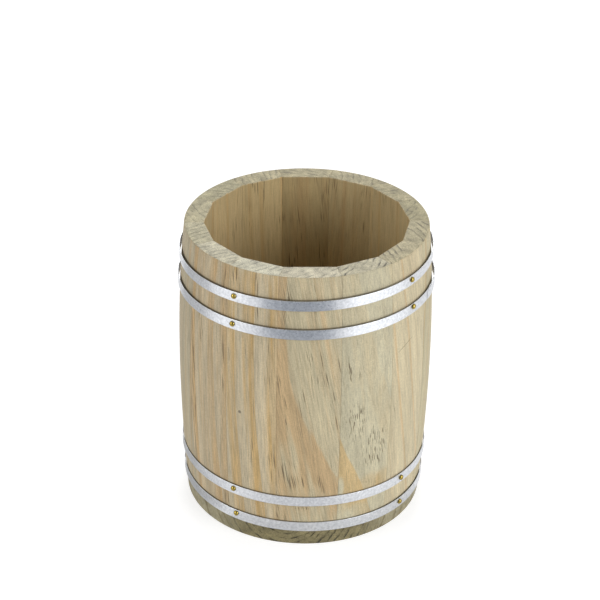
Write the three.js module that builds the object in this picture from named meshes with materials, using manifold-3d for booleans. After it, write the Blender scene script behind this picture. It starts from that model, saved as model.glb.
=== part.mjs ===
// A miniature wooden barrel, open at the top.
// Fourteen staves with flat insides are glued edge to edge on a base disc and turned round outside.
// Four lapped steel hoops stand on the wood, each held by four dome-headed brass nails.
// Millimetres, +Z up, origin at the middle of the underside, front towards -Y.
// A bearing is an angle in degrees round the barrel, from the front towards +X.
import * as THREE from "three";
import { mergeVertices } from "three/addons/utils/BufferGeometryUtils.js";
import Module from "manifold-3d";

// Overall sizes
const HEIGHT = 135;
const BELLY_DIAMETER = 113.6;
const BELLY_HEIGHT = 73;
const RIM_DIAMETER = 107.5;
const FOOT_DIAMETER = 108.3;
const RIM_EASING = 0.7;
const FOOT_EASING = 0.8;

// Staves and base
const MOUTH_DIAMETER = 90; // across the corners of the mouth
// Stave widths round the belly, from the front one towards +X: their shares of the whole set the joints
const STAVE_WIDTHS = [28, 25.5, 24.5, 25, 23.5, 25.5, 26.5, 27.5, 26, 27, 26.5, 23.5, 25, 24.5];
const FIRST_JOINT = -12.2; // bearing of the front stave's left edge
const BASE_THICKNESS = 12.5;
const GLUE_LINE = 0.1;
const PLANK_SPARE = 1; // what turning takes off a plank's back and end

// Hoops: each is set by its distance from the nearer end, and sits a little askew.
// Its two nails at the front each have a bearing and a rise above the strip's middle, and another nail straight
// across the barrel.
const HOOPS = [
  { fromRim: 12.4, askew: 1.2, lapBearing: 95, nails: [[-32.8, 0.4], [53.6, 0.4]] },
  { fromRim: 25.7, askew: 0.7, lapBearing: 68, nails: [[-33.1, 0.4], [54.3, 1]] },
  { fromFoot: 24.4, askew: -0.5, lapBearing: 95, nails: [[-33.1, 0.4], [51.1, 0.1]] },
  { fromFoot: 10.4, askew: -0.8, lapBearing: 95, nails: [[-32.2, 0.8], [51.9, 0.4]] },
];
const HOOP_WIDTH = 4.6;
const HOOP_THICKNESS = 0.3;
const HOOP_CORNER = 1.4; // rounding of the strip's cut ends
const HOOP_CLEARANCE = 0.5; // hoop to wood at the nails
const HOOP_BOW = 0.15; // how far the strip bows off the wood between two nails
const LAP_LENGTH = 18;
const LAP_RUN_OUT = 12; // length in which the outer layer comes down to the wood
const LAP_CLEARANCE = 0.15;

// Nails
const NAIL_HEAD_DIAMETER = 2.5;
const NAIL_HEAD_HEIGHT = 0.9;
const NAIL_SHANK_DIAMETER = 1.1;
const NAIL_LENGTH = 8;
const NAIL_POINT = 1.6;
const NAIL_CLEARANCE = 0.25; // shank to the holes round it
const NAIL_SEAT = 0.12; // head to hoop

// Fineness of the facets
const TURNED_SEGMENTS = 112;
const TURNED_ROWS = 10;
const EASING_ROWS = 3;
const HOOP_STEP = 4.5; // degrees
const CORNER_STEPS = 3;
const NAIL_SEGMENTS = 10;
const DOME_ROWS = 3;
const SAME_POINT = 1e-4; // vertices nearer than this are one

const wasm = await Module();
wasm.setup();

const rad = THREE.MathUtils.degToRad;
const barrel = new THREE.Group();

// A closed geometry as a solid that can be cut.
function solidOf(geometry) {
  const bare = new THREE.BufferGeometry();
  bare.setAttribute("position", geometry.getAttribute("position"));
  bare.setIndex(geometry.index);
  const merged = mergeVertices(bare, SAME_POINT);
  const vertProperties = merged.getAttribute("position").array;
  const triVerts = new Uint32Array(merged.index.array);
  return new wasm.Manifold(new wasm.Mesh({ numProp: 3, vertProperties, triVerts }));
}

// The geometry of a solid, with flat-shaded faces.
function geometryOf(solid) {
  const mesh = solid.getMesh();
  const geometry = new THREE.BufferGeometry();
  geometry.setAttribute("position", new THREE.BufferAttribute(mesh.vertProperties, 3));
  geometry.setIndex(new THREE.BufferAttribute(mesh.triVerts, 1));
  const faceted = geometry.toNonIndexed();
  faceted.computeVertexNormals();
  return faceted;
}

function namedMesh(name, geometry, material) {
  const mesh = new THREE.Mesh(geometry, material);
  mesh.name = name;
  return mesh;
}

// Radius of the turned outside at a height, before the ends are eased: a flat bow on each side of the belly.
function turnedRadius(z) {
  const above = z > BELLY_HEIGHT;
  const endDiameter = above ? RIM_DIAMETER : FOOT_DIAMETER;
  const reach = above ? HEIGHT - BELLY_HEIGHT : BELLY_HEIGHT;
  const share = (z - BELLY_HEIGHT) / reach;
  return (BELLY_DIAMETER - (BELLY_DIAMETER - endDiameter) * share * share) / 2;
}

// Points of a quarter round that eases an edge at (radius, z): turn is +1 for an upper edge, -1 for a lower.
function easedEdge(radius, z, easing, turn) {
  const points = [];
  for (let i = 0; i <= EASING_ROWS; i++) {
    const angle = (Math.PI / 2) * (i / EASING_ROWS);
    const r = radius - easing * (1 - Math.cos(angle));
    points.push(new THREE.Vector2(r, z - turn * easing * (1 - Math.sin(angle))));
  }
  return turn > 0 ? points : points.reverse();
}

// The turned outside from one height to another, as a solid of revolution on the barrel's axis.
// A circle of radius ring parts the facets of its upper face, where one is given.
function turnedGeometry(low, high, rows, ring) {
  const points = [new THREE.Vector2(0, low)];
  const eased = { low: low === 0 ? FOOT_EASING : 0, high: high === HEIGHT ? RIM_EASING : 0 };
  if (eased.low) points.push(...easedEdge(turnedRadius(low + eased.low), low, eased.low, -1));
  const first = eased.low ? 1 : 0;
  const last = eased.high ? rows - 1 : rows;
  for (let i = first; i <= last; i++) {
    const z = THREE.MathUtils.mapLinear(i, 0, rows, low + eased.low, high - eased.high);
    points.push(new THREE.Vector2(turnedRadius(z), z));
  }
  if (eased.high) points.push(...easedEdge(turnedRadius(high - eased.high), high, eased.high, 1));
  if (ring) points.push(new THREE.Vector2(ring, high));
  points.push(new THREE.Vector2(0, high));
  return new THREE.LatheGeometry(points, TURNED_SEGMENTS).rotateX(Math.PI / 2);
}

// A point at a radius on a joint between two staves, moved sideways by half the glue line.
function jointPoint(radius, bearing, side) {
  const angle = rad(bearing);
  const shift = (side * GLUE_LINE) / 2;
  const x = radius * Math.sin(angle) + shift * Math.cos(angle);
  const y = -radius * Math.cos(angle) + shift * Math.sin(angle);
  return new THREE.Vector2(x, y);
}

// Degrees round the barrel that a stave takes up, as its share of all the widths.
function staveSweep(width) {
  const total = STAVE_WIDTHS.reduce((sum, each) => sum + each, 0);
  return (360 * width) / total;
}

// Each stave is a mitred plank between two joints, cut by the turned outside.
function staveSolids() {
  const turned = solidOf(turnedGeometry(0, HEIGHT, TURNED_ROWS));
  const mouth = MOUTH_DIAMETER / 2;
  const floor = BASE_THICKNESS + GLUE_LINE;
  let bearing = FIRST_JOINT;
  return STAVE_WIDTHS.map((width) => {
    const sweep = staveSweep(width);
    const next = bearing + sweep;
    const blank = BELLY_DIAMETER / 2 / Math.cos(rad(sweep / 2)) + PLANK_SPARE;
    const plank = new THREE.Shape([
      jointPoint(mouth, bearing, 1),
      jointPoint(blank, bearing, 1),
      jointPoint(blank, next, -1),
      jointPoint(mouth, next, -1),
    ]);
    const depth = HEIGHT - floor + PLANK_SPARE;
    const geometry = new THREE.ExtrudeGeometry(plank, { depth, bevelEnabled: false });
    bearing = next;
    return solidOf(geometry.translate(0, 0, floor)).intersect(turned);
  });
}

// The floor is the part of the base that shows inside, within the flat of the widest stave.
function baseSolid() {
  const widest = staveSweep(Math.max(...STAVE_WIDTHS));
  const floorRadius = (MOUTH_DIAMETER / 2) * Math.cos(rad(widest / 2)) - GLUE_LINE;
  return solidOf(turnedGeometry(0, BASE_THICKNESS, 1, floorRadius));
}

// Bearings and rises of all the nails of one hoop, in order round the barrel.
function nailPlaces(hoop) {
  return hoop.nails.flatMap(([bearing, rise]) => [[bearing, rise], [bearing + 180, rise]]).sort((a, b) => a[0] - b[0]);
}

// How far a hoop stands off its seat at a bearing: nothing at a nail, most halfway to the next one.
function bowAt(hoop, bearing) {
  const nails = nailPlaces(hoop).map(([place]) => place);
  const start = nails[0];
  const turn = start + THREE.MathUtils.euclideanModulo(bearing - start, 360);
  const after = [...nails, start + 360];
  const i = after.findIndex((nail) => nail > turn);
  const share = (turn - after[i - 1]) / (after[i] - after[i - 1]);
  return HOOP_BOW * Math.sin(Math.PI * share) ** 2;
}

const hoopHeight = (hoop) => hoop.fromFoot ?? HEIGHT - hoop.fromRim;

// Where a hoop seats at a bearing: clear of the widest wood that the strip passes there, askew as it sits.
function seatRadius(hoop, bearing) {
  const level = hoopHeight(hoop);
  const z = level + turnedRadius(level) * Math.sin(rad(bearing)) * Math.tan(rad(hoop.askew));
  const nearest = THREE.MathUtils.clamp(BELLY_HEIGHT, z - HOOP_WIDTH / 2, z + HOOP_WIDTH / 2);
  return turnedRadius(nearest) + HOOP_CLEARANCE;
}

// Cross-sections along a hoop's strip, from the outer end of its lap, round the barrel, to the end beneath.
function stripStations(hoop) {
  const degreesPerMm = THREE.MathUtils.RAD2DEG / seatRadius(hoop, hoop.lapBearing);
  const lap = LAP_LENGTH * degreesPerMm;
  const runOut = LAP_RUN_OUT * degreesPerMm;
  const corner = HOOP_CORNER * degreesPerMm;
  const length = 360 + lap;
  const steps = Math.round((length - 2 * corner) / HOOP_STEP);
  const along = [];
  for (let i = 0; i < CORNER_STEPS; i++) along.push((corner * i * i) / (CORNER_STEPS * CORNER_STEPS));
  for (let i = 0; i <= steps; i++) along.push(THREE.MathUtils.lerp(corner, length - corner, i / steps));
  for (let i = CORNER_STEPS - 1; i >= 0; i--) along.push(length - along[i]);
  return along.map((s) => {
    const lift = 1 - THREE.MathUtils.smoothstep(s, lap, lap + runOut);
    const fromEnd = Math.min(s, length - s, corner) / degreesPerMm;
    const cut = HOOP_CORNER - Math.sqrt(HOOP_CORNER ** 2 - (HOOP_CORNER - fromEnd) ** 2);
    const bearing = hoop.lapBearing + s;
    return {
      angle: rad(bearing),
      inner: seatRadius(hoop, bearing) + bowAt(hoop, bearing) + lift * (HOOP_THICKNESS + LAP_CLEARANCE),
      half: HOOP_WIDTH / 2 - cut,
    };
  });
}

// A flat strip bent round the barrel: a rectangle lofted through the stations, closed at both ends.
function stripGeometry(stations) {
  const positions = [];
  const index = [];
  for (const { angle, inner, half } of stations) {
    const outer = inner + HOOP_THICKNESS;
    for (const [radius, z] of [[inner, -half], [outer, -half], [outer, half], [inner, half]]) {
      positions.push(radius * Math.sin(angle), -radius * Math.cos(angle), z);
    }
  }
  const quad = (a, b, c, d) => index.push(a, b, c, a, c, d);
  const last = 4 * (stations.length - 1);
  for (let base = 0; base < last; base += 4) {
    for (let i = 0; i < 4; i++) {
      const j = (i + 1) % 4;
      quad(base + i, base + 4 + i, base + 4 + j, base + j);
    }
  }
  quad(0, 1, 2, 3);
  quad(last + 3, last + 2, last + 1, last);
  const geometry = new THREE.BufferGeometry();
  geometry.setAttribute("position", new THREE.Float32BufferAttribute(positions, 3));
  geometry.setIndex(index);
  return geometry;
}

// A dome-headed nail along +Y, with the underside of its head at the origin.
function nailGeometry() {
  const head = NAIL_HEAD_DIAMETER / 2;
  const shank = NAIL_SHANK_DIAMETER / 2;
  const points = [
    new THREE.Vector2(0, -NAIL_LENGTH),
    new THREE.Vector2(shank, NAIL_POINT - NAIL_LENGTH),
    new THREE.Vector2(shank, 0),
  ];
  for (let i = 0; i <= DOME_ROWS; i++) {
    const angle = (Math.PI / 2) * (i / DOME_ROWS);
    const onAxis = i === DOME_ROWS;
    points.push(new THREE.Vector2(onAxis ? 0 : head * Math.cos(angle), NAIL_HEAD_HEIGHT * Math.sin(angle)));
  }
  return new THREE.LatheGeometry(points, NAIL_SEGMENTS);
}

// The hole for a nail, along -Y from outside the hoop to just past the nail's point.
function nailHole(seat) {
  const radius = NAIL_SHANK_DIAMETER / 2 + NAIL_CLEARANCE;
  const outside = seat + HOOP_THICKNESS + NAIL_SEAT;
  const depth = NAIL_LENGTH + NAIL_CLEARANCE;
  const geometry = new THREE.CylinderGeometry(radius, radius, depth, NAIL_SEGMENTS);
  return geometry.translate(0, depth / 2 - outside, 0);
}

const zinc = { color: 0xc9ccd2, metalness: 1, roughness: 0.32 };
const brass = { color: 0xc79a3c, metalness: 1, roughness: 0.25 };
const pine = { color: 0xc8b48a, metalness: 0, roughness: 0.7 };
const pineBoard = { color: 0x8f8260, metalness: 0, roughness: 0.75 };

let wood = [...staveSolids(), baseSolid()];

HOOPS.forEach((hoop, h) => {
  const ring = new THREE.Group();
  ring.position.z = hoopHeight(hoop);
  ring.rotation.y = -rad(hoop.askew);
  barrel.add(ring);
  let strip = solidOf(stripGeometry(stripStations(hoop)));
  nailPlaces(hoop).forEach(([bearing, rise], n) => {
    const seat = seatRadius(hoop, bearing);
    const spoke = new THREE.Group();
    spoke.rotation.z = rad(bearing);
    spoke.position.z = rise;
    ring.add(spoke);
    const nail = namedMesh(`nail_${h + 1}_${n + 1}`, nailGeometry(), new THREE.MeshStandardMaterial(brass));
    nail.rotation.x = Math.PI;
    nail.position.y = -(seat + HOOP_THICKNESS + NAIL_SEAT);
    spoke.add(nail);
    barrel.updateMatrixWorld(true);
    strip = strip.subtract(solidOf(nailHole(seat).applyMatrix4(spoke.matrix)));
    const hole = solidOf(nailHole(seat).applyMatrix4(spoke.matrixWorld));
    wood = wood.map((piece) => piece.subtract(hole));
  });
  ring.add(namedMesh(`hoop_${h + 1}`, geometryOf(strip), new THREE.MeshStandardMaterial(zinc)));
});

const woodNames = STAVE_WIDTHS.map((_, i) => `stave_${String(i + 1).padStart(2, "0")}`).concat("base");
wood.forEach((piece, i) => {
  const finish = woodNames[i] === "base" ? pineBoard : pine;
  barrel.add(namedMesh(woodNames[i], geometryOf(piece), new THREE.MeshStandardMaterial(finish)));
});

export default barrel;
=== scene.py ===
# The looks of a miniature wooden barrel: turned pine staves and base, galvanised hoops and brass nails.
# Shapes are drawn in millimetres in the barrel's own frame, then put into the scene in metres.
# A bearing is an angle in degrees round the barrel, from the front (-Y) towards +X.
import math
from typing import NamedTuple

import bpy
import numpy as np
from mathutils import Matrix, Vector


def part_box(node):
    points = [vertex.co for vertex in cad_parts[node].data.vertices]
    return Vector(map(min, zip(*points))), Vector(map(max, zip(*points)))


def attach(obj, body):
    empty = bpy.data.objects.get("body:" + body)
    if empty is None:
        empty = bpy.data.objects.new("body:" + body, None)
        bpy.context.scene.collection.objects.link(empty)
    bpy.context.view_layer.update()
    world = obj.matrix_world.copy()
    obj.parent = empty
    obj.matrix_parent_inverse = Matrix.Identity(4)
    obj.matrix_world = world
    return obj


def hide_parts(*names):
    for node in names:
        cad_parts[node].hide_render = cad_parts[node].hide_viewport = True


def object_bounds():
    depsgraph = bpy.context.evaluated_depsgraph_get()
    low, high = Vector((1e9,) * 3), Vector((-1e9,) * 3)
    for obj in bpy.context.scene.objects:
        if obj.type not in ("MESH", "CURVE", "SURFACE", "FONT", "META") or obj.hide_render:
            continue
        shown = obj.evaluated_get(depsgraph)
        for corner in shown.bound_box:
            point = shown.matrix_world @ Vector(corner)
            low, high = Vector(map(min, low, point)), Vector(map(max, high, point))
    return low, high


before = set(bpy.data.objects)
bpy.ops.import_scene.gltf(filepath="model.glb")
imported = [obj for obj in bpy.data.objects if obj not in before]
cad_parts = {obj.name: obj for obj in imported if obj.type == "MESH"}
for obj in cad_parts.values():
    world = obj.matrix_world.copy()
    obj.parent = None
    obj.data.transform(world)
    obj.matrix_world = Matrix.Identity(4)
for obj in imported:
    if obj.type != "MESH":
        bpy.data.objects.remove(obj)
cad_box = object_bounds()

MM = 0.001  # one millimetre in the scene's metres
STAVES = sorted(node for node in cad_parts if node.startswith("stave"))
HOOPS = sorted(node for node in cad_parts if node.startswith("hoop"))
NAILS = sorted(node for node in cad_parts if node.startswith("nail"))
SHARP_ANGLE = 32  # degrees between faces that meet in an edge

# Turned wood
RIM_EASING = 0.7  # rounding of the rim's outer edge
MOUTH_EASING = 0.35  # rounding of the rim's inner edge
FOOT_EASING = 0.8
JOINT_EASING = 0.01  # rounding of the long edges between staves
JOINT_GAP = 0.004  # what shows of a glue line
SKIN = 0.01  # how far the smooth outside stays within the frame's facets
OUTER_SHARE = 0.94  # of the widest radius: the frame's corners beyond this are on the outside
EASED_HEIGHT = 2  # at the foot and the rim, left out of the turned curve
CURVE_ORDER = 4
STAVE_ROWS = 56
OUTSIDE_COLUMNS = 14
INSIDE_COLUMNS = 6
EASING_ROWS = 5
DISC_ROWS = 10
DISC_SEGMENTS = 180

# Hoops
STRIP_THICKNESS = 0.3
STRIP_EDGE = 0.1  # rounding of the rolled edges
STRIP_CORNER = 1.4  # rounding of the cut ends
END_THICKNESS = 0.1  # of the strip at its ends, where the lap is hammered down
END_TAPER = 4  # length in which it thins
STRIP_CLEARANCE = 0.48  # strip to wood at the nails, within the facets of the frame
# How far a strip bows off its seat, or in from it, halfway between two nails
STRIP_BOWS = {"hoop_1": 0.15, "hoop_2": 0.15, "hoop_3": -0.25, "hoop_4": -0.25}
LAP_LENGTH = 18
LAP_RUN_OUT = 12  # length in which the outer layer comes down to the wood
LAP_CLEARANCE = 0.03
LAP_BEARINGS = {"hoop_1": 95, "hoop_2": 68, "hoop_3": 95, "hoop_4": 95}
STRIP_STEP = 1.5  # degrees
CORNER_ROWS = 6
EDGE_ROWS = 4
FLAT_LEAD = -0.6  # where the flat of the strip begins, before its rounding

# Nails
HEAD_DIAMETER = 2.5
HEAD_HEIGHT = 0.9
HEAD_UNDERSIDE = 0.96  # share of the head's width that lies on the strip
SHANK_DIAMETER = 1.1
POINT_LENGTH = 1.6
POINT_RADIUS = 0.05
NAIL_SEGMENTS = 32
DOME_ROWS = 8
DOME_START = 0.08  # radians up the dome
DOME_END = math.pi / 2 - 0.06

# Patterns in the wood: their sizes in millimetres, the third along the grain
WANDER_SIZE = (9, 9, 50)  # waves of the growth rings
STREAK_SIZE = (2, 2, 70)  # streaks of tan and pale wood
PATCH_SIZE = (4, 4, 60)  # dull patches
FIBRE_SIZE = (0.5, 1.5, 9)
PORE_SIZE = (0.5, 0.5, 0.5)  # real pores are finer and would not show
CLUSTER_SIZE = (5, 5, 18)  # patches with resin flecks
FLECK_WIDTHS = (0.35, 2)  # a fleck on the face of a piece, and how deep it goes
RIPPLE_SIZE = (5, 5, 5)  # waves of the fine lines in the end grain
BREAK_SIZE = (4, 4, 4)  # gaps in those lines
SMUDGE_SIZE = (4, 4, 4)

# How strong each pattern in the wood is
SPREAD = (0.3, 0.7)  # nearly all of a pattern lies between these
FIBRE_SPREAD = (0.25, 0.75)
WANDER = 0.8  # millimetres that the growth rings stray
YEAR_PHASE = 2.4  # how one year's strength follows on the last
BOLDEST_WAVE = 0.8  # of the sine that gives a year its strength, full from here
FAINTEST_YEAR = 0.08
SUMMER_START = 1.6  # shares of the summer wood before the year's end: where it begins
SUMMER_FULL = 0.4  # and where it is full
YEAR_STOP = 0.5  # millimetres in which it stops
PATCH_SHADES = (0.85, 1.1)
FIBRE_DEPTH = 0.1
STREAKY_DEPTH = 0.19  # streaky wood has bolder fibres
PORE_SHADES = (0.9, 1.1)
FLECK_EDGE = (0.56, 0.68)
FLECK_DARKNESS = 0.8
CLUSTER_START = 0.7
CLUSTER_GROWTH = 0.25  # clusters are larger where a piece has more flecks
CLUSTER_EDGE = 0.1
CLUSTER_FLOOR = 0.22  # flecks outside the clusters
SPOT_EDGE = (0.5, 1.1)  # shares of its half size at which a spot begins to fade, and ends
KNOT_DARKNESS = 0.7
SCRATCH_DARKNESS = 0.5
SCRATCH_HALF_WIDTH = 0.3
WALL_DISTANCE = (20, 40)  # from the foot's middle to a face's plane: walls and rim lie beyond the second
INSIDE_TAN = 0.45  # share of the tan that shows inside
INSIDE_SMOOTHNESS = 0.45  # planing leaves the inside smoother
END_CUT = (0.7, 0.92)  # cosine from the fibres: long grain below the first, end grain above the second
FINE_RING = 2.8  # spacing of the lines in the end grain
LINE_START = 0.5  # share of that at which a line begins
LINE_FULL = 0.9
RIPPLE = 3.0  # millimetres that they stray
GAP_EDGE = (0.4, 0.65)
UNBROKEN = 0.12  # what is left of a line in its gaps
SMUDGE_SHADES = (0.66, 1.29)
STIPPLE_SHADES = (0.7, 1.22)  # what the pores do to the end grain
WOOD_ROUGHNESS = (0.6, 0.75)
FIBRE_HEIGHT = 0.06

# Painted shade: dark lines on the wood along each hoop's upper edge, where the strip stands off it
CREVICE_SHADE = 0.6  # depth of the painted shade
CREVICE_SHADE_DROP = 0.3  # from a hoop's upper edge down to the line's middle
CREVICE_SHADE_REACH = (0.3, 0.7)  # from there: where it begins to fade, and where it ends
LIT_SIDE_FADE = (24, 40)  # towards +X, where the key lamp falls, the painted shade fades to half its depth between these

# Metal: the sizes of its patterns, the third up the strip, its colours and its shine
CRYSTAL_SIZE = (1, 1, 1)
ROLLING_SIZE = (12, 12, 0.3)  # lines that the rolls leave, drawn coarser than they are
ROLLING_HEIGHT = 0.01
SPECK_SIZE = (0.7, 0.7, 0.7)
WORN_SPREAD = (0.7, 1.3)  # of the lines and specks together
ZINC_GREYS = ("#BABDC2", "#DADCE0")
ZINC_ROUGHNESS = (0.27, 0.43)
TARNISH_SIZE = (0.9, 0.9, 0.9)
BRASS_YELLOWS = ("#B39E50", "#76642E")
BRASS_ROUGHNESS = (0.1, 0.24)

# Marks in the wood
FLECK_COLOUR = "#5E4E36"
KNOT_COLOUR = "#5A5248"
SCRATCH_COLOUR = "#7A684C"
# the painted shade along the upper edge of each hoop
PAINTED_SHADE_COLOUR = "#2E281E"
INSIDE_TINT = "#F2E9D6"  # darkens and browns the inside faces

# Camera and studio
CAMERA_PLACE = (-2.55, -705.17, 487.11)
CAMERA_DIP = 29.09  # degrees that the camera looks down
CAMERA_ROLL = 0.82
CAMERA_LENS = 108.12
CAMERA_SENSOR = 36
TABLE_REACH = 800
TABLE_GLOW = 0.3  # what a white light table adds to its lit surface
TABLE_SEEN_GLOW = 0.72  # the same as the camera and the metal see it, which makes the table white
SKY_STRENGTH = 0.2
CARD_SEGMENTS = 12
LAMP_DISTANCE = 1200
LAMP_WIDTH = 700
LAMPS = {  # bearing and rise in degrees, and watts
    "key_soft_box": (52, 22, 7.8),
    "fill_soft_box": (-62, 20, 4.7),
    "back_soft_box": (180, 45, 7.1),
}

# Settings of nodes that come up often
SOFT_STEP = {"interpolation_type": "SMOOTHSTEP"}
TO_OWN_AXES = {"vector_type": "TEXTURE"}
COLOUR_MIX = {"output": 2, "data_type": "RGBA"}  # its third output is the colour
FACTOR, FIRST, SECOND = 0, 6, 7  # sockets of a colour mix


class Grain(NamedTuple):
    """How a piece was sawn from its log, in millimetres at its mid height, and its colours."""
    pith: tuple  # across the piece from its middle, and in from its outer face
    lean: tuple  # how far the pith goes across and in for each millimetre up
    ring: float  # a year's growth
    edge: float  # how far from the pith a bold year ends
    bold: float  # which years are bold, as a phase
    share: float  # summer wood's share of a year
    colours: tuple  # spring wood, summer wood and end grain
    streaks: float  # contrast of the fine streaks, 0 to 1
    flecks: float  # how much of the wood has resin flecks, 0 to 1
    patches: tuple = ()  # flecked patches: place across and up, half width and half height
    knots: tuple = ()  # pin knots: place across and up, and radius
    scratches: tuple = ()  # place across and up, half length, and degrees that it climbs towards +X
    fleck_length: float = 10
    lines: float = 0.5  # darkness of the lines in the end grain, 0 to 1
    tans: tuple = ()  # patches more or less tan: place, half width and half height, and how much


ONE_BOLD, TWO_BOLD, FAINT = 3.97, 2.77, 5.5  # bold years come singly, in pairs or hardly at all

GRAINS = {
    "stave_01": Grain(
        (-8.9, 29.6), (-0.176, 0.045), 8, 30, ONE_BOLD, 0.45, ("#CABE9D", "#C9AE84", "#D6CEB4"), 0.5, 0.3,
        (
            (-8, 38, 6, 10), (0, 98, 1.8, 8), (5, 96, 1.6, 7), (7.5, 86, 1.6, 7), (10, 78, 1.6, 6),
            (13, 95, 1, 6), (-10, 122, 2.5, 14), (2, 126, 2, 9), (-2, 20.5, 4, 1.2), (-9, 67, 1.5, 3),
            (-1.5, 69.5, 1.2, 2.5), (10.7, 45, 0.8, 5), (5.4, 34.5, 1, 4),
        ),
        tans=((-9, 46, 6, 14, -0.35), (-11, 80, 3, 35, 0.25)),
    ),
    "stave_02": Grain(
        (-22.9, 33.2), (-0.1, 0.164), 16, 30, ONE_BOLD, 0.4, ("#CEC6A8", "#D0B685", "#C6BEA2"), 0.12, 0.2,
        ((-5.5, 64, 6, 12), (4.5, 49, 8, 15), (-8.5, 91, 1.6, 9)), fleck_length=3.5, lines=0.85,
        tans=((3, 28, 8, 8, 0.5), (10, 29, 5, 7, 0.45), (-11.5, 31, 2.2, 6, -0.8), (-2, 15, 8, 6, -0.5)),
    ),
    "stave_03": Grain(
        (-38, 34), (-0.15, 0.02), 7, 45.9, TWO_BOLD, 0.16, ("#D5C8A6", "#D2B68A", "#C1B693"), 0.12, 0.1,
        scratches=((-3.7, 93.8, 6.7, 21),), lines=0.7, tans=((1, 130, 8, 12, 0.15),),
    ),
    "stave_04": Grain(
        (-30, 40), (0.05, 0), 5, 48, FAINT, 0.3, ("#C4BA99", "#C4AE86", "#B8AE8C"), 0.3, 0.3, lines=0.7,
    ),
    "stave_05": Grain(
        (20, 35), (0.08, 0.03), 5.2, 40, ONE_BOLD, 0.4, ("#CBBD9A", "#C9AC7E", "#ABA27F"), 0.4, 0.4,
    ),
    "stave_06": Grain(
        (-45, 20), (0.03, 0.02), 6, 48, TWO_BOLD, 0.3, ("#CBBD9A", "#C6A778", "#B5AB88"), 0.4, 0.5,
    ),
    "stave_07": Grain(
        (40, 26), (-0.04, 0.02), 5, 44, FAINT, 0.35, ("#C5B794", "#BFA176", "#B8AE8C"), 0.4, 0.6,
    ),
    "stave_08": Grain(
        (8, 36), (0.06, -0.03), 5.6, 36, ONE_BOLD, 0.45, ("#BAAC89", "#B7996F", "#B6AC8A"), 0.4, 0.7,
    ),
    "stave_09": Grain(
        (-50, 18), (0.04, 0), 5.4, 50, TWO_BOLD, 0.35, ("#CEBF9A", "#CAAA78", "#B6AC8A"), 0.4, 0.5,
    ),
    "stave_10": Grain(
        (46, 30), (0, 0.02), 6.4, 50, ONE_BOLD, 0.3, ("#CEBF9C", "#CCAE7E", "#B1A987"), 0.4, 0.4,
    ),
    "stave_11": Grain(
        (-12, 32), (-0.1, 0.04), 5, 34, TWO_BOLD, 0.4, ("#CBBD9B", "#C8AA7A", "#BDB492"), 0.4, 0.5,
    ),
    "stave_12": Grain(
        (44, 22), (0.05, 0), 6, 46, FAINT, 0.3, ("#C0B497", "#BCA580", "#C7BF9F"), 0.4, 0.3,
    ),
    "stave_13": Grain(
        (-46, 26), (-0.03, 0), 6.2, 57.75, TWO_BOLD, 0.5, ("#CBBB9B", "#C8AA7C", "#D1CAAF"), 0.5, 0.2,
        ((11, 88, 1.2, 20), (9.5, 48, 1.5, 18), (10.5, 124, 1.5, 13), (-10.5, 67, 2.5, 70)),
    ),
    "stave_14": Grain(
        (-40, 30), (-0.047, 0), 7.75, 44.4, TWO_BOLD, 0.5, ("#D3C4A4", "#CDAD76", "#DAD5BC"), 0.5, 0.2,
        (
            (8, 91, 2.2, 15), (-2.3, 94, 1, 8), (-10.5, 92, 0.8, 6), (0.5, 45, 1.2, 15), (-8, 128, 2.5, 9),
            (2, 124, 2.5, 14), (10, 45, 2, 16),
        ),
        ((-4.9, 66.7, 0.9),), tans=((10.5, 80, 3.5, 75, 0.5),),
    ),
}
BASE_GRAIN = Grain(
    (0, 0), (0, 0), 2.8, 30, TWO_BOLD, 0.4, ("#A79F81", "#7D7250", "#8B815C"), 0.3, 0.3, lines=0.95,
)
BASE_PITH = (-8, 0, 17)  # its log lies along Y, above the board
SEED_STEP = 7.3  # from one stave's patterns to the next
BASE_SEED = 101.7


def linear(colour):
    """A colour written as sRGB hex, as the linear red, green, blue and alpha that a shader takes."""
    parts = [int(colour[i:i + 2], 16) / 255 for i in (1, 3, 5)]
    return (*[p / 12.92 if p <= 0.04045 else ((p + 0.055) / 1.055) ** 2.4 for p in parts], 1)


def connect(node, inputs):
    """Links each input of a node that is given a socket, and sets each that is given anything else."""
    for place, value in inputs.items():
        if isinstance(value, bpy.types.NodeSocket):
            node.id_data.links.new(value, node.inputs[place])
        else:
            node.inputs[place].default_value = value


def add(tree, kind, inputs, output=0, **settings):
    """Adds a node with its settings and inputs, and gives one of its outputs."""
    made = tree.nodes.new("ShaderNode" + kind)
    for name, value in settings.items():
        setattr(made, name, value)
    connect(made, inputs)
    return made.outputs[output]


def new_finish(name):
    """A new material, its node tree and its shader."""
    material = bpy.data.materials.new(name)
    material.use_nodes = True
    return material, material.node_tree, material.node_tree.nodes["Principled BSDF"]


def in_millimetres(tree):
    """The place on a piece, in millimetres in the barrel's frame."""
    metres = add(tree, "TexCoord", {}, "Object")
    return add(tree, "VectorMath", {0: metres, "Scale": 1 / MM}, operation="SCALE")


def mottle(tree, place, size, seed, detail=1):
    """An uneven pattern, 0 to 1, whose features have a size in millimetres along each axis of a place."""
    scaled = add(tree, "VectorMath", {0: place, 1: [1 / s for s in size]}, operation="MULTIPLY")
    inputs = {"Vector": scaled, "W": seed, "Scale": 1, "Detail": detail}
    return add(tree, "TexNoise", inputs, noise_dimensions="4D")


def shaded(tree, colour, pattern, span, shades):
    """A colour that a pattern takes from one shade to another, as it crosses a span."""
    shade = add(tree, "MapRange", {0: pattern, 1: span[0], 2: span[1], 3: shades[0], 4: shades[1]})
    return add(tree, "VectorMath", {0: colour, "Scale": shade}, operation="SCALE")


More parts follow.
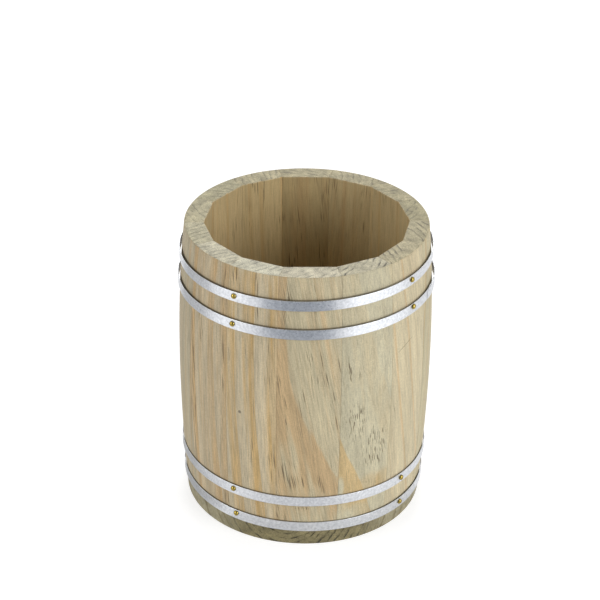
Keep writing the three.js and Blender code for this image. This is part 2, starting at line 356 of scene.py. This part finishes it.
def spot(tree, place, centre, half_sizes, most=1, climb=0):
    """An oval spot on a piece's face, 0 outside it, which can climb towards +X by some degrees."""
    through = 1000  # a spot goes all through the piece
    inputs = {
        "Vector": place,
        "Location": (centre[0], 0, centre[1]),
        "Rotation": (0, math.radians(-climb), 0),
        "Scale": (half_sizes[0], through, half_sizes[1]),
    }
    offset = add(tree, "Mapping", inputs, **TO_OWN_AXES)
    from_middle = add(tree, "VectorMath", {0: offset}, "Value", operation="LENGTH")
    fading = {0: from_middle, 1: SPOT_EDGE[0], 2: SPOT_EDGE[1], 3: most, 4: 0}
    return add(tree, "MapRange", fading, **SOFT_STEP)


def polar(node):
    """Bearings in degrees, radii and heights in millimetres of a node's corners in the frame."""
    points = np.array([v.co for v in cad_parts[node].data.vertices]) / MM
    bearings = np.degrees(np.arctan2(points[:, 0], -points[:, 1]))
    return bearings, np.hypot(points[:, 0], points[:, 1]), points[:, 2]


def turned_outside():
    """Radius of the turned wood by height: a curve through the frame's outer corners."""
    radii, heights = np.hstack([polar(node)[1:] for node in [*STAVES, "base"]])
    on_bow = radii > OUTER_SHARE * radii.max()
    on_bow &= (heights > EASED_HEIGHT) & (heights < heights.max() - EASED_HEIGHT)
    return np.polynomial.Polynomial.fit(heights[on_bow], radii[on_bow] - SKIN, CURVE_ORDER)


turned_radius = turned_outside()


def hoop_place(node):
    """Height of a hoop's middle, its slope towards +X and its strip's width, from the frame."""
    points = np.array([v.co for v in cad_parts[node].data.vertices]) / MM
    slope, height = np.polyfit(points[:, 0], points[:, 2], 1)
    width = np.ptp(points[:, 2] - slope * points[:, 0])
    return height, slope, width


def loft(name, rings, placing, material, node):
    """A closed piece through rings of points in millimetres, which stands for a node of the frame."""
    rings = np.asarray(rings, float)
    rows, count = rings.shape[:2]
    faces = []
    for row in range(rows - 1):
        for i in range(count):
            a, b = row * count + i, row * count + (i + 1) % count
            faces.append((a, b, b + count, a + count))
    faces.append(tuple(reversed(range(count))))
    faces.append(tuple(range((rows - 1) * count, rows * count)))
    mesh = bpy.data.meshes.new(name)
    mesh.from_pydata(rings.reshape(-1, 3).tolist(), [], faces)
    mesh.transform(Matrix.Scale(MM, 4) @ placing)
    mesh.shade_smooth()
    for end in (-1, -2):
        mesh.polygons[end].use_smooth = False
    mesh.set_sharp_from_angle(angle=math.radians(SHARP_ANGLE))
    mesh.materials.append(material)
    piece = bpy.data.objects.new(name, mesh)
    bpy.context.scene.collection.objects.link(piece)
    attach(piece, "root")
    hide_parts(node)


def quarter(rows):
    """Steps of a quarter round: how far each has come in and up, as shares of its radius."""
    angles = np.linspace(0, math.pi / 2, rows)
    return list(zip(1 - np.cos(angles), np.sin(angles)))


def circle(radius, height, count):
    """Points round the upright axis."""
    turns = np.linspace(0, 2 * math.pi, count, endpoint=False)
    return np.column_stack([radius * np.sin(turns), -radius * np.cos(turns), np.full(count, height)])


def pine(name, facing, log, grain, seed):
    """Radiata pine, sawn, turned and sanded, with no varnish, from a log that lies along its matrix's Z.

    Pale spring wood runs into tan summer wood, which stops short at the next year. The long grain is
    streaked with fibres and short dark resin flecks, and the end grain is stippled. The sheen is low and
    broad.
    """
    material, tree, shader = new_finish(name)
    spring_wood, summer_wood, end_grain = map(linear, grain.colours)
    place = in_millimetres(tree)
    log_axes = {"Vector": place, "Location": log.translation, "Rotation": log.to_euler()}
    in_log = add(tree, "Mapping", log_axes, **TO_OWN_AXES)
    on_face = add(tree, "Mapping", {"Vector": place, "Rotation": facing.to_euler()}, **TO_OWN_AXES)
    along_grain = facing @ Matrix.Rotation(math.atan(grain.lean[0]), 4, "Y")
    on_grain = add(tree, "Mapping", {"Vector": place, "Rotation": along_grain.to_euler()}, **TO_OWN_AXES)
    surface = add(tree, "NewGeometry", {}, "Normal")
    outward = add(tree, "VectorMath", {0: surface, 1: place}, "Value", operation="DOT_PRODUCT")
    near, far = WALL_DISTANCE
    inside = add(tree, "MapRange", {0: outward, 1: -near, 2: -far}, **SOFT_STEP)
    outside = add(tree, "MapRange", {0: outward, 1: near, 2: far}, **SOFT_STEP)

    # Years
    across = add(tree, "VectorMath", {0: in_log, 1: (1, 1, 0)}, operation="MULTIPLY")
    radius = add(tree, "VectorMath", {0: across}, "Value", operation="LENGTH")
    wander = mottle(tree, in_log, WANDER_SIZE, seed, 2)
    wander = add(tree, "MapRange", {0: wander, 3: -WANDER - grain.edge, 4: WANDER - grain.edge})
    bent = add(tree, "Math", {0: radius, 1: wander}, operation="ADD")
    years = add(tree, "Math", {0: bent, 1: 1 / grain.ring}, operation="MULTIPLY")
    year = add(tree, "Math", {0: years}, operation="FLOOR")
    wave = add(tree, "Math", {0: year, 1: YEAR_PHASE, 2: grain.bold}, operation="MULTIPLY_ADD")
    wave = add(tree, "Math", {0: wave}, operation="SINE")
    strength = add(tree, "MapRange", {0: wave, 1: -1, 2: BOLDEST_WAVE, 3: FAINTEST_YEAR})
    gone = add(tree, "Math", {0: years}, operation="FRACT")
    summer = {0: gone, 1: 1 - SUMMER_START * grain.share, 2: 1 - SUMMER_FULL * grain.share}
    rise = add(tree, "MapRange", summer, **SOFT_STEP)
    stop = add(tree, "MapRange", {0: gone, 1: 1 - YEAR_STOP / grain.ring, 2: 1, 3: 1, 4: 0}, **SOFT_STEP)
    late = add(tree, "Math", {0: rise, 1: stop}, operation="MULTIPLY")
    late = add(tree, "Math", {0: late, 1: strength}, operation="MULTIPLY")

    # Streaks and patches of tan and pale wood, evened out inside
    streak = mottle(tree, in_log, STREAK_SIZE, seed + 1, 2)
    contrast = {0: streak, 1: SPREAD[0], 2: SPREAD[1], 3: -grain.streaks, 4: grain.streaks}
    streak = add(tree, "MapRange", contrast)
    tan = add(tree, "Math", {0: late, 1: streak}, operation="ADD", use_clamp=True)
    for x, z, half_width, half_height, amount in grain.tans:
        tinted = spot(tree, on_face, (x, z), (half_width, half_height))
        tan = add(tree, "Math", {0: tinted, 1: amount, 2: tan}, operation="MULTIPLY_ADD", use_clamp=True)
    evened = add(tree, "MapRange", {0: inside, 3: 1, 4: INSIDE_TAN}, **SOFT_STEP)
    tan = add(tree, "Math", {0: tan, 1: evened}, operation="MULTIPLY")
    plain = add(tree, "Mix", {FACTOR: tan, FIRST: spring_wood, SECOND: summer_wood}, **COLOUR_MIX)

    # Dull patches, fibres and pores, fainter inside
    patch = mottle(tree, in_log, PATCH_SIZE, seed + 2, 2)
    colour = shaded(tree, plain, patch, SPREAD, PATCH_SHADES)
    fibre = mottle(tree, on_grain, FIBRE_SIZE, seed + 3, 2)
    depth = FIBRE_DEPTH + STREAKY_DEPTH * grain.streaks
    colour = shaded(tree, colour, fibre, FIBRE_SPREAD, (1 - depth, 1 + depth))
    pores = mottle(tree, place, PORE_SIZE, seed + 8)
    colour = shaded(tree, colour, pores, SPREAD, PORE_SHADES)
    smooth = add(tree, "Math", {0: inside, 1: INSIDE_SMOOTHNESS}, operation="MULTIPLY")
    colour = add(tree, "Mix", {FACTOR: smooth, FIRST: colour, SECOND: plain}, **COLOUR_MIX)

    # Resin flecks, thick in patches
    cluster = mottle(tree, in_log, CLUSTER_SIZE, seed + 4)
    start = CLUSTER_START - CLUSTER_GROWTH * grain.flecks
    thick = {0: cluster, 1: start, 2: start + CLUSTER_EDGE, 3: CLUSTER_FLOOR}
    cluster = add(tree, "MapRange", thick, **SOFT_STEP)
    for x, z, half_width, half_height in grain.patches:
        flecked = spot(tree, on_face, (x, z), (half_width, half_height))
        cluster = add(tree, "Math", {0: cluster, 1: flecked}, operation="MAXIMUM")
    fleck = mottle(tree, on_grain, (*FLECK_WIDTHS, grain.fleck_length), seed + 5, 0)
    fleck_range = {0: fleck, 1: FLECK_EDGE[0], 2: FLECK_EDGE[1], 4: FLECK_DARKNESS}
    fleck = add(tree, "MapRange", fleck_range, **SOFT_STEP)
    fleck = add(tree, "Math", {0: fleck, 1: cluster}, operation="MULTIPLY")
    marks = [(fleck, FLECK_COLOUR)]

    # Pin knots and scratches
    for x, z, size in grain.knots:
        marks.append((spot(tree, on_face, (x, z), (size, size), KNOT_DARKNESS), KNOT_COLOUR))
    for x, z, half_length, climb in grain.scratches:
        half_sizes = (half_length, SCRATCH_HALF_WIDTH)
        marks.append((spot(tree, on_face, (x, z), half_sizes, SCRATCH_DARKNESS, climb), SCRATCH_COLOUR))

    # Painted shade outside, along the upper edge of each hoop where the strip stands off the wood, lighter
    # towards +X where the key lamp falls
    axes = add(tree, "SeparateXYZ", {0: place}).node.outputs
    lit_fade = {0: axes["X"], 1: LIT_SIDE_FADE[0], 2: LIT_SIDE_FADE[1], 3: CREVICE_SHADE, 4: CREVICE_SHADE / 2}
    shade_depth = add(tree, "MapRange", lit_fade, **SOFT_STEP)
    shade_depth = add(tree, "Math", {0: outside, 1: shade_depth}, operation="MULTIPLY")
    for node in HOOPS:
        height, slope, width = hoop_place(node)
        line = height + width / 2 - CREVICE_SHADE_DROP
        level = add(tree, "Math", {0: axes["X"], 1: -slope, 2: -line}, operation="MULTIPLY_ADD")
        off = add(tree, "Math", {0: level, 1: axes["Z"]}, operation="ADD")
        off = add(tree, "Math", {0: off}, operation="ABSOLUTE")
        fading = {0: off, 1: CREVICE_SHADE_REACH[0], 2: CREVICE_SHADE_REACH[1], 3: 1, 4: 0}
        crevice_shade = add(tree, "MapRange", fading, **SOFT_STEP)
        crevice_shade = add(tree, "Math", {0: crevice_shade, 1: shade_depth}, operation="MULTIPLY")
        marks.append((crevice_shade, PAINTED_SHADE_COLOUR))
    for mark, tint in marks:
        colour = add(tree, "Mix", {FACTOR: mark, FIRST: colour, SECOND: linear(tint)}, **COLOUR_MIX)

    # Inside faces, darker and browner
    browned = add(tree, "VectorMath", {0: colour, 1: linear(INSIDE_TINT)[:3]}, operation="MULTIPLY")
    colour = add(tree, "Mix", {FACTOR: inside, FIRST: colour, SECOND: browned}, **COLOUR_MIX)

    # End grain, where the cut runs across the fibres: fine broken lines, smudges and stipple
    cut = add(tree, "VectorMath", {0: surface, 1: log.col[2].xyz}, "Value", operation="DOT_PRODUCT")
    cut = add(tree, "Math", {0: cut}, operation="ABSOLUTE")
    end = add(tree, "MapRange", {0: cut, 1: END_CUT[0], 2: END_CUT[1]}, **SOFT_STEP)
    ripple = mottle(tree, place, RIPPLE_SIZE, seed + 9, 2)
    ripple = add(tree, "Math", {0: ripple, 1: RIPPLE, 2: bent}, operation="MULTIPLY_ADD")
    fine_years = add(tree, "Math", {0: ripple, 1: 1 / FINE_RING}, operation="MULTIPLY")
    gone = add(tree, "Math", {0: fine_years}, operation="FRACT")
    rise = add(tree, "MapRange", {0: gone, 1: LINE_START, 2: LINE_FULL}, **SOFT_STEP)
    stop = add(tree, "MapRange", {0: gone, 1: LINE_FULL, 2: 1, 3: 1, 4: 0}, **SOFT_STEP)
    line = add(tree, "Math", {0: rise, 1: stop}, operation="MULTIPLY")
    gaps = mottle(tree, place, BREAK_SIZE, seed + 6)
    broken = {0: gaps, 1: GAP_EDGE[0], 2: GAP_EDGE[1], 3: UNBROKEN * grain.lines, 4: grain.lines}
    darkness = add(tree, "MapRange", broken, **SOFT_STEP)
    line = add(tree, "Math", {0: line, 1: darkness}, operation="MULTIPLY")
    end_colour = shaded(tree, end_grain[:3], line, (0, 1), (1, 0))
    smudge = mottle(tree, place, SMUDGE_SIZE, seed + 7, 4)
    end_colour = shaded(tree, end_colour, smudge, SPREAD, SMUDGE_SHADES)
    end_colour = shaded(tree, end_colour, pores, SPREAD, STIPPLE_SHADES)
    colour = add(tree, "Mix", {FACTOR: end, FIRST: colour, SECOND: end_colour}, **COLOUR_MIX)

    sheen = {0: fibre, 1: SPREAD[0], 2: SPREAD[1], 3: WOOD_ROUGHNESS[0], 4: WOOD_ROUGHNESS[1]}
    bump = add(tree, "Bump", {"Height": fibre, "Strength": 0.5, "Distance": FIBRE_HEIGHT * MM})
    connect(shader, {"Base Color": colour, "Roughness": add(tree, "MapRange", sheen), "Normal": bump})
    return material


def stave_span(node):
    """Middle bearing and half sweep of a stave in degrees, and its flat inside's distance from the axis."""
    bearings, radii, _ = polar(node)
    turns = (bearings - bearings[0] + 180) % 360 - 180
    middle = bearings[0] + (turns.min() + turns.max()) / 2
    flat = (radii * np.cos(np.radians(bearings - middle))).min()
    return middle, np.ptp(turns) / 2, flat


def stave_ring(height, outer, flat, half):
    """Points round a stave at one height, as if it stood in front: a mitred plank with eased edges."""
    sin, cos = math.sin(half), math.cos(half)

    def on_joint(radius, inward, side):
        return (side * (radius * sin - inward * cos), -radius * cos - inward * sin, height)

    gap = JOINT_GAP / 2
    corner = flat / cos  # radius of the mouth's corner
    slight = 0.3 * JOINT_EASING  # how far in the middle of a quarter round lies
    turns = np.linspace(-half, half, OUTSIDE_COLUMNS) * (1 - (JOINT_EASING + gap) / (outer * half))
    points = [(outer * math.sin(turn), -outer * math.cos(turn), height) for turn in turns]
    points.append(on_joint(outer - slight, gap + slight, 1))
    points.append(on_joint(outer - JOINT_EASING, gap, 1))
    points.append(on_joint(corner + JOINT_EASING, gap, 1))
    for share in np.linspace(1, -1, INSIDE_COLUMNS):
        points.append((share * (flat * sin / cos - JOINT_EASING), -flat, height))
    points.append(on_joint(corner + JOINT_EASING, gap, -1))
    points.append(on_joint(outer - JOINT_EASING, gap, -1))
    points.append(on_joint(outer - slight, gap + slight, -1))
    return points


def stave(node, seed):
    """A stave from the base to the rim, cut from a log of its own."""
    middle, half, flat = stave_span(node)
    half = math.radians(half)
    low, high = (corner.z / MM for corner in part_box(node))
    rings = []
    for height in np.linspace(low, high - RIM_EASING, STAVE_ROWS):
        rings.append(stave_ring(height, turned_radius(height), flat, half))
    top = turned_radius(high - RIM_EASING)
    for inward, up in quarter(EASING_ROWS)[1:]:
        height = high - RIM_EASING * (1 - up)
        opening = max(0.0, 1 - (high - height) / MOUTH_EASING)
        set_back = MOUTH_EASING * (1 - math.sqrt(1 - opening ** 2))
        rings.append(stave_ring(height, top - RIM_EASING * inward, flat + set_back, half))
    grain = GRAINS[node]
    facing = Matrix.Rotation(math.radians(middle), 4, "Z")
    mid_height = (low + high) / 2
    pith = Matrix.Translation((grain.pith[0], grain.pith[1] - turned_radius(mid_height), mid_height))
    log = facing @ pith @ Vector((*grain.lean, 1)).to_track_quat("Z", "Y").to_matrix().to_4x4()
    material = pine(f"turned_pine_{node}", facing, log, grain, seed)
    loft(f"{node}_turned", rings, facing, material, node)


def base_disc(seed):
    """The disc under the staves, turned with them: a board on the flat, with its end grain to the front."""
    low, high = (corner.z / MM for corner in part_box("base"))
    rings = []
    foot = turned_radius(low + FOOT_EASING)
    for inward, up in reversed(quarter(EASING_ROWS)):
        rings.append(circle(foot - FOOT_EASING * inward, low + FOOT_EASING * (1 - up), DISC_SEGMENTS))
    for height in np.linspace(low + FOOT_EASING, high - JOINT_EASING, DISC_ROWS)[1:]:
        rings.append(circle(turned_radius(height), height, DISC_SEGMENTS))
    rings.append(circle(turned_radius(high) - JOINT_EASING, high, DISC_SEGMENTS))
    lying = Matrix.Rotation(math.pi / 2, 4, "X")
    material = pine("turned_pine_base", lying, Matrix.Translation(BASE_PITH) @ lying, BASE_GRAIN, seed)
    loft("base_turned", rings, Matrix(), material, "base")


def nail_ends(node):
    """The top of a nail's dome and its point, in millimetres."""
    points = [v.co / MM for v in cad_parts[node].data.vertices]
    points.sort(key=lambda point: point.xy.length)
    return points[-1], points[0]


def nail_bearings(hoop):
    """Bearings of the nails through a hoop, in order round the barrel."""
    tops = [nail_ends(node)[0] for node in NAILS if node.startswith(hoop.replace("hoop", "nail"))]
    return sorted(math.degrees(math.atan2(top.x, -top.y)) for top in tops)


def bowed(bearing, nails):
    """Share of a strip's bow that it has at a bearing: none at a nail, all halfway to the next."""
    turn = nails[0] + (bearing - nails[0]) % 360
    ends = [*nails, nails[0] + 360]
    after = next(i for i, nail in enumerate(ends) if nail > turn)
    share = (turn - ends[after - 1]) / (ends[after] - ends[after - 1])
    return math.sin(math.pi * share) ** 2


def strip_section(bearing, inner, thickness, half, height):
    """Points round a strip's section: a flat rectangle with rounded edges."""
    outer = inner + thickness
    edge = min(STRIP_EDGE, thickness / 2.5)  # finer where the strip is thinned
    corners = [(inner, -half, 1, 1), (outer, -half, -1, 1), (outer, half, -1, -1), (inner, half, 1, -1)]
    turn = math.radians(bearing)
    points = []
    for i, (radius, z, into, up) in enumerate(corners):
        steps = [(0, FLAT_LEAD), *quarter(EDGE_ROWS)]
        if i % 2 == 1:
            steps.reverse()
        for inward, along in steps:
            r = radius + into * edge * inward
            points.append((r * math.sin(turn), -r * math.cos(turn), height + z + up * edge * (1 - along)))
    return points


def hoop(node, material):
    """A strip bent round the barrel, from the outer end of its lap to the end beneath."""
    height, slope, width = hoop_place(node)
    seat_radius = turned_radius(height)
    nails = nail_bearings(node)
    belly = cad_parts["stave_01"].dimensions.z / MM / 2
    per_mm = math.degrees(1) / seat_radius
    lap, run_out, corner = (size * per_mm for size in (LAP_LENGTH, LAP_RUN_OUT, STRIP_CORNER))
    length = 360 + lap
    ends = [corner * (i / CORNER_ROWS) ** 2 for i in range(CORNER_ROWS)]
    middle = np.linspace(corner, length - corner, round(length / STRIP_STEP))
    rings = []
    for along in [*ends, *middle, *(length - end for end in reversed(ends))]:
        bearing = LAP_BEARINGS[node] + along
        level = height + slope * seat_radius * math.sin(math.radians(bearing))
        widest = level + math.copysign(width / 2, belly - level)
        lift = np.clip((along - lap) / run_out, 0, 1)
        lift = 1 - lift * lift * (3 - 2 * lift)  # comes down in a gentle S
        inner = turned_radius(widest) + STRIP_CLEARANCE + STRIP_BOWS[node] * bowed(bearing, nails)
        inner += lift * (STRIP_THICKNESS + LAP_CLEARANCE)
        from_end = min(along, length - along) / per_mm
        thickness = np.interp(from_end, (0, END_TAPER), (END_THICKNESS, STRIP_THICKNESS))
        from_corner = STRIP_CORNER - min(from_end, STRIP_CORNER)
        cut = STRIP_CORNER - math.sqrt(STRIP_CORNER ** 2 - from_corner ** 2)
        rings.append(strip_section(bearing, inner, thickness, width / 2 - cut, level))
    loft(f"{node}_strip", rings, Matrix(), material, node)


def nail(node, material):
    """A nail with a domed head, driven in through its hoop."""
    top, point = nail_ends(node)
    under = (top - point).length - HEAD_HEIGHT
    shank, head = SHANK_DIAMETER / 2, HEAD_DIAMETER / 2
    sizes = [(POINT_RADIUS, 0), (shank, POINT_LENGTH), (shank, under), (head * HEAD_UNDERSIDE, under)]
    for angle in np.linspace(DOME_START, DOME_END, DOME_ROWS):
        sizes.append((head * math.cos(angle), under + HEAD_HEIGHT * math.sin(angle)))
    rings = [circle(radius, height, NAIL_SEGMENTS) for radius, height in sizes]
    driven = Matrix.Translation(point) @ (top - point).to_track_quat("Z", "Y").to_matrix().to_4x4()
    loft(f"{node}_brass", rings, driven, material, node)


def galvanised_strip():
    """Steel strip, hot-dip galvanised and rolled: cool bright grey, with fine lines along it and specks."""
    material, tree, shader = new_finish("galvanised_strip")
    place = in_millimetres(tree)
    crystals = mottle(tree, place, CRYSTAL_SIZE, 0, 3)
    crystals = add(tree, "MapRange", {0: crystals, 1: SPREAD[0], 2: SPREAD[1]})
    greys = {FACTOR: crystals, FIRST: linear(ZINC_GREYS[0]), SECOND: linear(ZINC_GREYS[1])}
    rolled = mottle(tree, place, ROLLING_SIZE, 1, 2)
    specks = mottle(tree, place, SPECK_SIZE, 2)
    worn = add(tree, "Math", {0: rolled, 1: specks}, operation="ADD")
    dulled = {0: worn, 1: WORN_SPREAD[0], 2: WORN_SPREAD[1], 3: ZINC_ROUGHNESS[0], 4: ZINC_ROUGHNESS[1]}
    connect(shader, {
        "Base Color": add(tree, "Mix", greys, **COLOUR_MIX),
        "Metallic": 1,
        "Roughness": add(tree, "MapRange", dulled, **SOFT_STEP),
        "Anisotropic": 0.6,
        "Anisotropic Rotation": 0.25,  # a quarter turn
        "Tangent": add(tree, "Tangent", {}, direction_type="RADIAL", axis="Z"),
        "Normal": add(tree, "Bump", {"Height": worn, "Strength": 0.15, "Distance": ROLLING_HEIGHT * MM}),
    })
    return material


def polished_brass():
    """Brass nail heads, stamped and tumbled: warm yellow, bright, dulled in places."""
    material, tree, shader = new_finish("polished_brass")
    tarnish = mottle(tree, in_millimetres(tree), TARNISH_SIZE, 0, 3)
    yellows = {FACTOR: tarnish, FIRST: linear(BRASS_YELLOWS[0]), SECOND: linear(BRASS_YELLOWS[1])}
    dulled = {0: tarnish, 1: SPREAD[0], 2: SPREAD[1], 3: BRASS_ROUGHNESS[0], 4: BRASS_ROUGHNESS[1]}
    connect(shader, {
        "Base Color": add(tree, "Mix", yellows, **COLOUR_MIX),
        "Metallic": 1,
        "Roughness": add(tree, "MapRange", dulled, **SOFT_STEP),
    })
    return material


def seen_rays(tree):
    """1 for rays that show a background: the camera's own, and those mirrored in metal or through glass."""
    path = add(tree, "LightPath", {}).node.outputs
    mirrored = add(tree, "Math", {0: path["Is Camera Ray"], 1: path["Is Glossy Ray"]}, operation="MAXIMUM")
    return add(tree, "Math", {0: mirrored, 1: path["Is Transmission Ray"]}, operation="MAXIMUM")


def sheet(name, corners, material):
    """A flat sheet on the stage, by its corners in millimetres."""
    mesh = bpy.data.meshes.new(name)
    mesh.from_pydata([Vector(corner) * MM for corner in corners], [], [tuple(range(len(corners)))])
    mesh.materials.append(material)
    made = bpy.data.objects.new(name, mesh)
    bpy.context.scene.collection.objects.link(made)
    return made


def foot_ring(inner, outer, start, end):
    """Corners of a part of a flat ring round the foot, from one bearing to another."""
    turns = np.radians(np.linspace(start, end, CARD_SEGMENTS))
    arc = np.column_stack([np.sin(turns), -np.cos(turns), np.zeros(CARD_SEGMENTS)])
    return [*(inner * arc + (0, 0, 1)), *(outer * arc[::-1] + (0, 0, 1))]


def surroundings():
    """A white light table under a white sky."""
    world = bpy.data.worlds.new("white_studio")
    world.use_nodes = True
    bpy.context.scene.world = world
    sky = add(world.node_tree, "MapRange", {0: seen_rays(world.node_tree), 3: SKY_STRENGTH, 4: 1})
    connect(world.node_tree.nodes["Background"], {"Color": linear("#FFFFFF"), "Strength": sky})

    white, tree, shader = new_finish("white_light_table")
    glow = add(tree, "MapRange", {0: seen_rays(tree), 3: TABLE_GLOW, 4: TABLE_SEEN_GLOW})
    connect(shader, {
        "Base Color": linear("#BCBCBC"),
        "Roughness": 1,
        "Specular IOR Level": 0,
        "Emission Color": linear("#FFFFFF"),
        "Emission Strength": glow,
    })
    reach = TABLE_REACH
    sheet("table", [(-reach, -reach, 0), (reach, -reach, 0), (reach, reach, 0), (-reach, reach, 0)], white)


def cards():
    """Cards that only the metal sees, which give the hoops their bright and grey stretches."""
    placed = [
        ("grey_card", [(-700, -1000, 2), (445, -1000, 2), (75, -170, 2), (-120, -170, 2)], "#A6AEBA", 0),
        (
            "black_flag", [(-700, -1000, 250), (360, -1000, 250), (360, -1000, 1600), (-700, -1000, 1600)],
            "#1C1D20", 0,
        ),
        ("right_reflector", [(90, -130, 2), (500, -620, 2), (900, 0, 2), (190, 0, 2)], "#FFFFFF", 0.66),
        (
            "left_reflector", [(-140, -130, 2), (-700, -600, 2), (-900, -100, 2), (-190, -40, 2)],
            "#FFFFFF", 0.48,
        ),
        ("left_card", [(-65, -5, 2), (-900, -60, 2), (-690, 580, 2), (-50, 42, 2)], "#E7E7E7", 0),
        ("foot_card", [(-50, -45, 1), (-66, -48, 1), (-110, 5, 1), (-64, 20, 1)], "#E0E0E0", 0),
        ("front_foot_card", foot_ring(57, 75, -40, 80), "#FFFFFF", 0.2),
    ]
    for name, corners, shade, glow in placed:
        paper, _, shader = new_finish(f"{name}_paper")
        connect(shader, {
            "Base Color": linear(shade),
            "Roughness": 1,
            "Emission Color": linear(shade),
            "Emission Strength": glow,
        })
        card = sheet(name, corners, paper)
        card.visible_camera = False
        card.visible_diffuse = False
        card.visible_transmission = False
        card.visible_shadow = False


def soft_box(name, bearing, rise, power):
    """A round soft lamp that faces the barrel. Its power is in watts."""
    lamp = bpy.data.lights.new(name, "AREA")
    lamp.shape = "DISK"
    lamp.size = LAMP_WIDTH * MM
    lamp.energy = power
    made = bpy.data.objects.new(name, lamp)
    turn, up = math.radians(bearing), math.radians(rise)
    away = Vector((math.sin(turn) * math.cos(up), -math.cos(turn) * math.cos(up), math.sin(up)))
    made.location = (cad_box[0] + cad_box[1]) / 2 + away * LAMP_DISTANCE * MM
    made.rotation_euler = away.to_track_quat("Z", "Y").to_euler()
    bpy.context.scene.collection.objects.link(made)


def camera_view():
    """The camera, where the photograph was taken from."""
    scene = bpy.context.scene
    scene.view_settings.view_transform = "Standard"
    lens = bpy.data.cameras.new("camera")
    lens.lens = CAMERA_LENS
    lens.sensor_width = CAMERA_SENSOR
    camera = bpy.data.objects.new("camera", lens)
    dip = Matrix.Rotation(math.radians(90 - CAMERA_DIP), 4, "X")
    roll = Matrix.Rotation(math.radians(CAMERA_ROLL), 4, "Z")
    camera.matrix_world = Matrix.Translation(Vector(CAMERA_PLACE) * MM) @ dip @ roll
    scene.collection.objects.link(camera)
    scene.camera = camera


for number, node in enumerate(STAVES):
    stave(node, number * SEED_STEP)
base_disc(BASE_SEED)
zinc = galvanised_strip()
for node in HOOPS:
    hoop(node, zinc)
brass = polished_brass()
for node in NAILS:
    nail(node, brass)
surroundings()
cards()
for name, (bearing, rise, power) in LAMPS.items():
    soft_box(name, bearing, rise, power)
camera_view()
